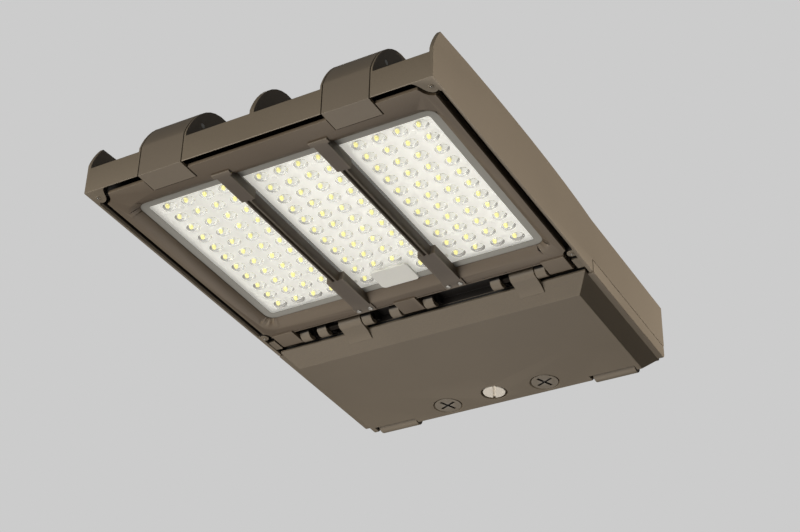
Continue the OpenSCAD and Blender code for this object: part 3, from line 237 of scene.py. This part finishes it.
def powder_coat(name, colour, rub_and_highlight, shaded_boxes=()):
    """Textured polyester powder coat: a matt film whose sand grit shows as fine bumps, worn lighter
    on outer edges, which also paints an edge highlight there. Grit is drawn coarser than the real
    0.3 mm, to show at the render's size. Inside the boxes given as shaded, the colour is painted
    near black as painted shade."""
    material, tree, place = new_material(name)
    grit = add(tree, "ShaderNodeTexNoise", inputs={
        "Vector": place, "Scale": 1000 / GRIT_MM, "Detail": 2.0, "Roughness": 0.6}).outputs[0]
    cloud = add(tree, "ShaderNodeTexNoise", inputs={
        "Vector": place, "Scale": 1000 / CLOUD_MM, "Detail": 3.0, "Roughness": 0.5}).outputs[0]
    film = blend(tree, cloud, shade(colour, 0.9), shade(colour, 1.1))
    film = add(tree, "ShaderNodeVectorMath", {"operation": "SCALE"}, {
        0: film, "Scale": ramp(tree, grit, 0.35, 0.65, 0.94, 1.06)}).outputs[0]
    edge = add(tree, "ShaderNodeNewGeometry").outputs["Pointiness"]
    # Outer edges lighter: wear and painted edge highlight.
    film = blend(tree, ramp(tree, edge, 0.53, 0.62, 0.0, 0.7), film, rub_and_highlight)
    # Inside the shade boxes the colour is painted near black: painted shade.
    for low, high in shaded_boxes:
        film = blend(tree, within(tree, place, low, high), film, PAINTED_SHADE)
    surface(tree, {"Base Color": film, "Roughness": ramp(tree, grit, 0.3, 0.7, 0.50, 0.62),
                   "Normal": bumps(tree, grit, 0.35, 0.12), "Specular IOR Level": 0.7})
    return material


def carry_over(node, material, round_mm, segments=2, sharper_than=30):
    """Copy of a CAD node with its loose triangles welded. Three cuts on planes near its middle keep
    faces small. Where a width is given, triangles are merged into flat faces and every edge over
    the given angle is rounded to that width. The copy replaces the node and rides its body."""
    mesh = bpy.data.meshes.new(node + "_skin")
    shape = bmesh.new()
    shape.from_mesh(frame["nodes"][node].data)
    bmesh.ops.remove_doubles(shape, verts=shape.verts, dist=WELD_MM * MM)
    bmesh.ops.dissolve_degenerate(shape, dist=SLIVER_MM * MM, edges=shape.edges)
    for place, across in SEAMS:
        cut = bmesh.ops.bisect_plane(shape, geom=shape.verts[:] + shape.edges[:] + shape.faces[:],
                                     dist=1e-6, plane_co=place, plane_no=across)["geom_cut"]
        for edge in (item for item in cut if isinstance(item, bmesh.types.BMEdge)):
            edge.seam = True
    if round_mm:
        bmesh.ops.dissolve_limit(shape, angle_limit=FLAT_WITHIN, verts=shape.verts,
                                 edges=shape.edges, delimit={"NORMAL", "SEAM"})
    shape.to_mesh(mesh)
    shape.free()
    mesh.shade_smooth()
    piece = new_object(node + "_skin", mesh, material)
    if round_mm:
        edges = piece.modifiers.new("rounded edges", "BEVEL")
        edges.width = round_mm * MM
        edges.segments = segments
        edges.limit_method = "ANGLE"
        edges.angle_limit = math.radians(sharper_than)
        edges.use_clamp_overlap = False
        edges.miter_outer = "MITER_ARC"
    flats = piece.modifiers.new("flat faces", "WEIGHTED_NORMAL")
    flats.weight = 50
    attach(piece, body_of[node])
    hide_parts(node)


# Warm dark bronze, matt and sandy; in the closed space behind the optics and in the hinge trough
# it is painted nearly black, as painted shade.
bronze_coat = powder_coat("dark_bronze_powder_coat", COAT, RUB_AND_HIGHLIGHT)
carry_over("housing", powder_coat("housing_coat_painted_shade", COAT, RUB_AND_HIGHLIGHT, SHADE_BOXES), 0.4)

# ---- Hinge pins and corner screws ----
# Phosphated steel pins run through the housing's straps, and a small coated screw with a bright
# point stands on each corner boss.

FINE_WELD_MM = 0.002
SCREW_SIDES = 32
SCREW_RINGS = (0.02, 0.16, 0.2, 0.4, 0.58, 0.64, 0.85, 0.96, 1.0)
CROWN, RECESS_HW, RECESS_R, RECESS_DEPTH = 0.6, 0.17, 0.6, 0.55


def plated(name, colour, rough):
    """Plated or satin metal: bright and slightly clouded, with fine unevenness."""
    material, tree, place = new_material(name)
    cloud = add(tree, "ShaderNodeTexNoise", inputs={
        "Vector": place, "Scale": 1000 / 3.0, "Detail": 3.0}).outputs[0]
    surface(tree, {"Base Color": blend(tree, cloud, shade(colour, 0.8), colour), "Metallic": 1.0,
                   "Roughness": ramp(tree, cloud, 0.3, 0.7, rough - 0.08, rough + 0.08),
                   "Normal": bumps(tree, cloud, 0.2, 0.05)})
    return material


def new_piece(name, points, faces, material, body, slot, *nodes):
    """Mesh object from an array of points in millimetres above the rim, welded, faces outward."""
    mesh = bpy.data.meshes.new(name)
    mesh.from_pydata((points + (0, 0, RIM)) * MM, [], faces)
    shape = bmesh.new()
    shape.from_mesh(mesh)
    bmesh.ops.remove_doubles(shape, verts=shape.verts, dist=FINE_WELD_MM * MM)
    bmesh.ops.recalc_face_normals(shape, faces=shape.faces)
    shape.to_mesh(mesh)
    shape.free()
    mesh.shade_smooth()
    piece = new_object(name, mesh, material)
    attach(piece, body)
    if nodes:
        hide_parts(*nodes)


def ring_faces(rings, sides):
    """Quads between rings of points stored one after another, each ring closed on itself."""
    ring, side = np.meshgrid(np.arange(rings - 1) * sides, np.arange(sides), indexing="ij")
    after = (side + 1) % sides
    quads = np.stack([ring + side, ring + after, ring + sides + after, ring + sides + side], axis=-1)
    return [tuple(quad) for quad in quads.reshape(-1, 4)]


def turned(rings, spots):
    """Points and faces of a form made of rings of points, closed at both ends and repeated at the
    spots."""
    count, sides = rings.shape[0] * rings.shape[1], rings.shape[1]
    faces = ring_faces(rings.shape[0], sides)
    faces += [tuple(range(sides)), tuple(range(count - sides, count))]
    points = np.concatenate([rings.reshape(-1, 3) + (x, y, 0) for x, y in spots])
    return points, [tuple(i + n * count for i in face) for n in range(len(spots)) for face in faces]


def screws(spots, head_r, head_h, shank_r, seat_z, tip_z):
    """Points and faces of pan-head screws with their heads below the seat. The head is a polar
    grid: height = head_h * (1 - CROWN * rho^4), less RECESS_DEPTH of head_h in a cross recess, where
    the smaller of |x| and |y| is under RECESS_HW of the head and rho is under RECESS_R."""
    around = np.linspace(0, 2 * np.pi, SCREW_SIDES, endpoint=False) + np.pi / SCREW_SIDES
    rho, angle = np.meshgrid(np.array(SCREW_RINGS), around, indexing="ij")
    x, y = rho * np.cos(angle), rho * np.sin(angle)
    arm = (np.minimum(abs(x), abs(y)) < RECESS_HW) & (rho < RECESS_R)
    drop = head_h * (1 - CROWN * rho ** 4) - arm * RECESS_DEPTH * head_h
    cap = np.stack([head_r * x, head_r * y, seat_z - drop], axis=-1)
    rim = cap[-1].copy()
    rim[:, 2] = seat_z
    neck = rim * (shank_r / head_r, shank_r / head_r, 1)
    tip = neck.copy()
    tip[:, 2] = tip_z
    return turned(np.concatenate([cap, rim[None], neck[None], tip[None]]), spots)


# Zinc plating, cool and bright but clouded; phosphated steel, dull and nearly black.
zinc = plated("zinc_plated_steel", linear("#B4B2AC"), 0.36)
dark_steel = plated("phosphated_steel", linear("#2A2622"), 0.6)
carry_over("hinge_pins", dark_steel, 0.4)

corner_spots = [(-158, -466), (158, -466), (-159.5, -208), (159.5, -208)]
points, faces = screws(corner_spots, head_r=2.3, head_h=0.6, shank_r=1.6, seat_z=0.0, tip_z=7.5)
new_piece("corner_screws_coated", points, faces, bronze_coat, "housing", "steel", "corner_screws")
points, faces = screws(corner_spots, head_r=0.8, head_h=0.9, shank_r=0.5, seat_z=-0.3, tip_z=0.5)
new_piece("corner_screw_points", points, faces, zinc, "housing", "steel")

# ---- LED boards ----
# Three aluminium-core boards with a white solder mask, screwed to the heat sink plate and linked
# by small white jumpers. Each carries 3.8 mm white LED packages with a yellow phosphor face.

PANEL, COLUMN, ROW = 93.0, 19.15, 17.53
COLUMNS, ROWS = 4, 11
FIRST_ROW_Y = -418.9
BOARD_Z = 12.0
LED_HALF, LED_LAYERS = 1.9, ((1.0, 0.0), (1.0, 1.6), (0.9, 1.8))
PHOSPHOR_HALF, PHOSPHOR_LAYERS = 1.75, ((1.0, 1.7), (0.98, 3.0), (0.8, 3.8), (0.4, 4.1))
LED_SIDES = 16


def moulded(name, colour, rough, cloud_mm=40, spread=0.05, more=None):
    """Smooth moulded or printed plastic: an even colour with a faint cloud and a fine peel, and
    further surface inputs."""
    material, tree, place = new_material(name)
    cloud = add(tree, "ShaderNodeTexNoise", inputs={
        "Vector": place, "Scale": 1000 / cloud_mm, "Detail": 3.0}).outputs[0]
    peel = add(tree, "ShaderNodeTexNoise", inputs={"Vector": place, "Scale": 1000 / 1.5}).outputs[0]
    tone = blend(tree, cloud, shade(colour, 1 - spread), shade(colour, 1 + spread))
    surface(tree, {"Base Color": tone,
                   "Roughness": ramp(tree, peel, 0.3, 0.7, rough - 0.04, rough + 0.04),
                   "Normal": bumps(tree, peel, 0.15, 0.05), **(more or {})})
    return material


def painted_glow(code, strength):
    """Surface inputs for a faint even glow: painted light, which stands in for lamp light that the clear
    acrylic keeps from the boards and LEDs, and for light scattered inside the optics.
    """
    return {"Emission Color": linear(code), "Emission Strength": strength}


def led_spot(panel, column, row):
    """Centre of an LED, counted from the panel's left and from the nose."""
    return (panel * PANEL + (column - (COLUMNS - 1) / 2) * COLUMN, FIRST_ROW_Y + row * ROW)


def has_led(panel, column, row):
    """Every cell has an LED but the middle panel's last row, which has none in its two middle
    columns, where the connector pad is."""
    return not (panel == 0 and row == ROWS - 1 and column in (1, 2))


def stamped(half, layers, power):
    """Points and faces of a low stud on every LED's spot: the superellipse outline
    r = half / (|cos|^p + |sin|^p)^(1/p) at each layer's scale and drop below the board."""
    around = np.linspace(0, 2 * np.pi, LED_SIDES, endpoint=False)
    cos, sin = np.cos(around), np.sin(around)
    reach = half / (abs(cos) ** power + abs(sin) ** power) ** (1 / power)
    rings = np.stack([np.column_stack([reach * cos * scale, reach * sin * scale,
                                       np.full(LED_SIDES, BOARD_Z - drop)])
                      for scale, drop in layers])
    return turned(rings, [led_spot(p, c, r) for p in (-1, 0, 1) for c in range(COLUMNS)
                          for r in range(ROWS) if has_led(p, c, r)])


# Solder mask, a smooth cream white with a painted glow; nylon, the same but duller and without it.
solder_mask = moulded("white_solder_mask", linear("#F6F5F0"), 0.45, more=painted_glow("#FFFAF3", 0.24))
for board in ("led_board_left", "led_board_mid", "led_board_right"):
    carry_over(board, solder_mask, 0.2, segments=1)
white_nylon = moulded("white_nylon", linear("#F2F1EC"), 0.5)
carry_over("board_jumpers", white_nylon, 0.3)

# Phosphor in silicone, a pale lemon yellow that its dome enlarges, with a painted glow.
phosphor = moulded("yellow_phosphor", linear("#F4EA80"), 0.35, cloud_mm=5, spread=0.04,
                   more=painted_glow("#FFF392", 0.50))
points, faces = stamped(LED_HALF, LED_LAYERS, 8.0)
new_piece("led_bodies", points, faces, white_nylon, "housing", "phosphor", "led_packages")
points, faces = stamped(PHOSPHOR_HALF, PHOSPHOR_LAYERS, 2.5)
new_piece("led_phosphor", points, faces, phosphor, "housing", "phosphor")

board_spots = [(p * PANEL + s * COLUMN, FIRST_ROW_Y + r * ROW)
               for p in (-1, 0, 1) for s in (-1, 1) for r in (0.5, 8.5)]
points, faces = screws(board_spots, head_r=2.7, head_h=1.2, shank_r=1.5, seat_z=BOARD_Z, tip_z=17.2)
new_piece("board_pan_screws", points, faces, solder_mask, "housing", "steel", "board_screws")

# ---- Optical frame ----
# The die-cast door of the optics: a flat flange with a bevelled window, an upstand behind it and
# three knuckles on the hinge line, in the bronze coat painted deeper as painted shade. Silicone cord and
# gasket seal it.

# The same sandy coat painted a shade deeper on the frame, as painted shade of its downward faces.
frame_shaded_coat = powder_coat("frame_coat_painted_shade", linear("#594A37"), RUB_AND_HIGHLIGHT)
carry_over("optical_frame", frame_shaded_coat, 0.25, sharper_than=60)

# Silicone rubber, dull and even: pale grey round the lens plates, black elsewhere.
silicone = moulded("black_silicone_rubber", linear("#2A2A29"), 0.6)
grey_silicone = moulded("grey_silicone_rubber", linear("#9C9A92"), 0.5)
carry_over("lens_gasket", grey_silicone, 0)
carry_over("frame_seal", silicone, 0.5)

# ---- Lens plates ----
# Three injection-moulded optics of clear acrylic, 2.5 mm thick, one over each board. Every LED has
# its own smooth dome, and the plates lie on the frame's ledge under twelve small screws.

LENS_Z, LENS_TOP = 8.0, 10.5
CELL_WELD_MM = 0.005
LENS_Y = (-439.5, -220.5)
DOME_SHIFT = (2.7, -0.15)
DOME_RX, DOME_RY, DOME_H = 6.7, 5.6, 3.6
HOLLOW_RX, HOLLOW_RY, HOLLOW_H = 5.5, 4.5, 4.8
DOME_SPOKES = 24
DOME_RINGS = (0.1, 0.42, 0.66, 0.82, 0.92, 0.975, 1.0)
SCREW_X, SCREW_IN = 30, 2.0

# Clear acrylic: glassy domes that bend the yellow of each LED, with a faint milky haze and a faint
# painted glow.
clear_acrylic, tree, place = new_material("clear_moulded_acrylic")
haze = add(tree, "ShaderNodeTexNoise", inputs={
    "Vector": place, "Scale": 1000 / 12, "Detail": 3.0}).outputs[0]
surface(tree, {"Base Color": blend(tree, haze, linear("#F7FAF8"), linear("#FFFFFF")),
               "Roughness": ramp(tree, haze, 0.3, 0.7, 0.10, 0.22), "IOR": 1.38,
               "Transmission Weight": 1.0, **painted_glow("#FFFCF4", 0.06)})


def cell_patch(middle, x_range, y_range, rx, ry, height, base_z):
    """Polar grid of one cell of a lens plate, from a dome's top out to the cell's edge. Its depth is
    h * (1 - rho^2.4)^0.5, and its last ring runs round the cell, at (cos, sin) / max(|cos|, |sin|)."""
    around = np.arange(DOME_SPOKES) * 2 * np.pi / DOME_SPOKES
    rho, angle = np.meshgrid(np.array(DOME_RINGS), around, indexing="ij")
    depth = height * np.sqrt(np.clip(1 - rho ** 2.4, 0, 1))
    rings = np.stack([middle[0] + rx * rho * np.cos(angle), middle[1] + ry * rho * np.sin(angle),
                      base_z - depth], axis=-1)
    circle = np.stack([np.cos(around), np.sin(around)])
    square = circle / abs(circle).max(axis=0)
    edge = np.stack([np.mean(x_range) + square[0] * (x_range[1] - x_range[0]) / 2,
                     np.mean(y_range) + square[1] * (y_range[1] - y_range[0]) / 2,
                     np.full(DOME_SPOKES, base_z)], axis=-1)
    return np.concatenate([rings, edge[None]]).reshape(-1, 3)


def lens_plate(name, panel, x_range):
    """Lens plate: cells side by side with an oval dome on the face and a hollow behind it, joined by
    walls at the plate's edge. Cell edges lie halfway between LEDs, the outer ones at that edge."""
    xs = [x_range[0]] + [panel * PANEL + (c - 1) * COLUMN for c in range(COLUMNS - 1)] + [x_range[1]]
    ys = [LENS_Y[0]] + [FIRST_ROW_Y + (r + 0.5) * ROW for r in range(ROWS - 1)] + [LENS_Y[1]]
    cells = []
    for c in range(COLUMNS):
        for r in range(ROWS):
            middle = np.add(led_spot(panel, c, r), DOME_SHIFT)
            lit = has_led(panel, c, r)
            span = (xs[c:c + 2], ys[r:r + 2])
            cells.append(cell_patch(middle, *span, DOME_RX, DOME_RY, DOME_H * lit, LENS_Z))
            cells.append(cell_patch(middle, *span, HOLLOW_RX, HOLLOW_RY, HOLLOW_H * lit, LENS_TOP))
    count = len(cells[0])
    one = ring_faces(len(DOME_RINGS) + 1, DOME_SPOKES) + [tuple(range(DOME_SPOKES))]
    faces = [tuple(i + n * count for i in face) for n in range(len(cells)) for face in one]
    mesh = bpy.data.meshes.new(name)
    mesh.from_pydata((np.concatenate(cells) + (0, 0, RIM)) * MM, [], faces)
    shape = bmesh.new()
    shape.from_mesh(mesh)
    bmesh.ops.remove_doubles(shape, verts=shape.verts, dist=CELL_WELD_MM * MM)
    rim = [edge for edge in shape.edges
           if edge.is_boundary and edge.verts[0].co.z < (LENS_Z + RIM + 0.1) * MM]
    wall = bmesh.ops.extrude_edge_only(shape, edges=rim)["geom"]
    for vert in (item for item in wall if isinstance(item, bmesh.types.BMVert)):
        vert.co.z = (LENS_TOP + RIM) * MM
    bmesh.ops.remove_doubles(shape, verts=shape.verts, dist=CELL_WELD_MM * MM)
    bmesh.ops.recalc_face_normals(shape, faces=shape.faces)
    shape.to_mesh(mesh)
    shape.free()
    mesh.shade_smooth()
    mesh.set_sharp_from_angle(angle=math.radians(40))
    piece = new_object(name, mesh, clear_acrylic)
    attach(piece, "frame")
    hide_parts(name.replace("optic", "lens"))


lens_plate("optic_left", -1, (-148.0, -47.0))
lens_plate("optic_mid", 0, (-46.0, 46.0))
lens_plate("optic_right", 1, (47.0, 148.0))

lens_spots = [(p * PANEL + s * SCREW_X, y) for p in (-1, 0, 1) for s in (-1, 1)
              for y in (LENS_Y[0] + SCREW_IN, LENS_Y[1] - SCREW_IN)]
points, faces = screws(lens_spots, head_r=2.0, head_h=1.3, shank_r=1.15, seat_z=0.0, tip_z=4.7)
points = points * (1, 1, -1) + (0, 0, LENS_TOP)
new_piece("lens_pan_screws", points, faces, zinc, "frame", "steel", "lens_screws")

# ---- Connector pad ----
# A frosted plastic cover over the plug that feeds the boards, moulded in one piece with softened
# edges. It lies on the middle lens plate and laps over the gasket's border.

# Frosted polycarbonate: milky and matt, a little light passing under its skin, and a faint painted glow.
frosted_plastic = moulded("frosted_polycarbonate", linear("#E2E1D8"), 0.5, more={
    "Subsurface Weight": 0.2, "Subsurface Radius": (2 * MM, 2 * MM, 2 * MM),
    **painted_glow("#FFFFFF", 0.06)})
carry_over("connector_cover", frosted_plastic, 0.5)

# ---- Divider bars ----
# Two die-cast bars clamp the seams between the lens plates. Each has a T head at the nose, twin
# ridges along its middle, and a foot at the rear held by two screws.

FOOT_SCREW_X, FOOT_SCREW_Y = 6, -212.0

# A thin coat on the bars, the darkest of the bronzes against the pale plates.
thin_coat = powder_coat("thin_bronze_powder_coat", linear("#554A3D"), RUB_AND_HIGHLIGHT)
carry_over("divider_left", thin_coat, 0.35)
carry_over("divider_right", thin_coat, 0.35)
foot_spots = [(s * PANEL / 2 + d * FOOT_SCREW_X, FOOT_SCREW_Y) for s in (-1, 1) for d in (-1, 1)]
points, faces = screws(foot_spots, head_r=2.4, head_h=1.0, shank_r=1.15, seat_z=-1.6, tip_z=2.5)
new_piece("divider_pan_screws", points, faces, zinc, "frame", "steel", "divider_screws")

# ---- Latches ----
# Cast latches close over the nose: each swings up on its steel pin and drops its lower tab out of
# the frame's notch. A spring strip of bent steel under its tail keeps it shut.

# The housing's coat painted a little darker on the latches, as painted shade.
latch_shaded_coat = powder_coat("latch_coat_painted_shade", linear("#64594A"), RUB_AND_HIGHLIGHT)
carry_over("latch_left", latch_shaded_coat, 0.35)
carry_over("latch_right", latch_shaded_coat, 0.35)
carry_over("latch_pins", zinc, 0.4)
carry_over("latch_springs", zinc, 0.2)

# ---- Driver bay door ----
# A cast tray with sloping edges, side bands and two hinge knuckles, in the housing's coat. A
# silicone gasket runs round it, and flanged steel sleeves keep its three fasteners captive.

carry_over("driver_door", bronze_coat, 0.35)
carry_over("door_gasket", silicone, 0.4)
carry_over("stud_sleeves", zinc, 0.3)
carry_over("stud_receptacles", zinc, 0.3)

# ---- Door fasteners ----
# Two powder-coated cross-recess fasteners and one bare quarter-turn with a slot. Each head sits in
# its own well and turns a pair of wings behind a lock plate.

STUD_X, STUD_Y, CROSS_REACH = 53, -33.5, 10
CROSS_Z = (-13.5, -11.5)

# Bronze coat painted pale on the heads' edges, partly wear and partly a painted highlight, and
# painted dark inside the cross as painted shade.
recess_shade_boxes = [((x - CROSS_REACH, STUD_Y - CROSS_REACH, CROSS_Z[0]),
             (x + CROSS_REACH, STUD_Y + CROSS_REACH, CROSS_Z[1])) for x in (-STUD_X, STUD_X)]
stud_coat = powder_coat("bronze_coat_painted_highlight_shade", COAT, linear("#B9B5AD"), recess_shade_boxes)
carry_over("door_stud_left", stud_coat, 0.4)
carry_over("door_stud_right", stud_coat, 0.4)

# Satin nickel drawn as a pale matt colour, not as metal: an even warm pale head, brighter than all
# round it, whose pale tone is partly its own and partly a painted reflection.
nickel_painted_reflection = moulded("nickel_plate_painted_reflection", linear("#F2EADC"), 0.4, cloud_mm=4, spread=0.06)
carry_over("quarter_turn", nickel_painted_reflection, 0.3)

# ---- Bay contents ----
# The LED driver in its satin aluminium can, a black surge module, a white terminal block, and
# insulated leads that run through rubber bushes to the arm and to the boards.

# A soft grey metal can; black ABS and PVC, smooth and slightly glossy; cream PVC.
satin_can = plated("satin_aluminium", linear("#C9C9C6"), 0.5)
black_abs = moulded("black_abs", linear("#26282A"), 0.5)
white_pvc = moulded("white_pvc_insulation", linear("#D9D2C2"), 0.45)
black_pvc = moulded("black_pvc_insulation", linear("#2B2B2B"), 0.4)
carry_over("driver", satin_can, 1.0)
carry_over("driver_screws", zinc, 0.4)
carry_over("surge_protector", black_abs, 1.2, segments=3)
carry_over("terminal_block", white_nylon, 0.8)
carry_over("led_leads", white_pvc, 0)
carry_over("supply_leads", black_pvc, 0)
carry_over("grommets", silicone, 0.2)
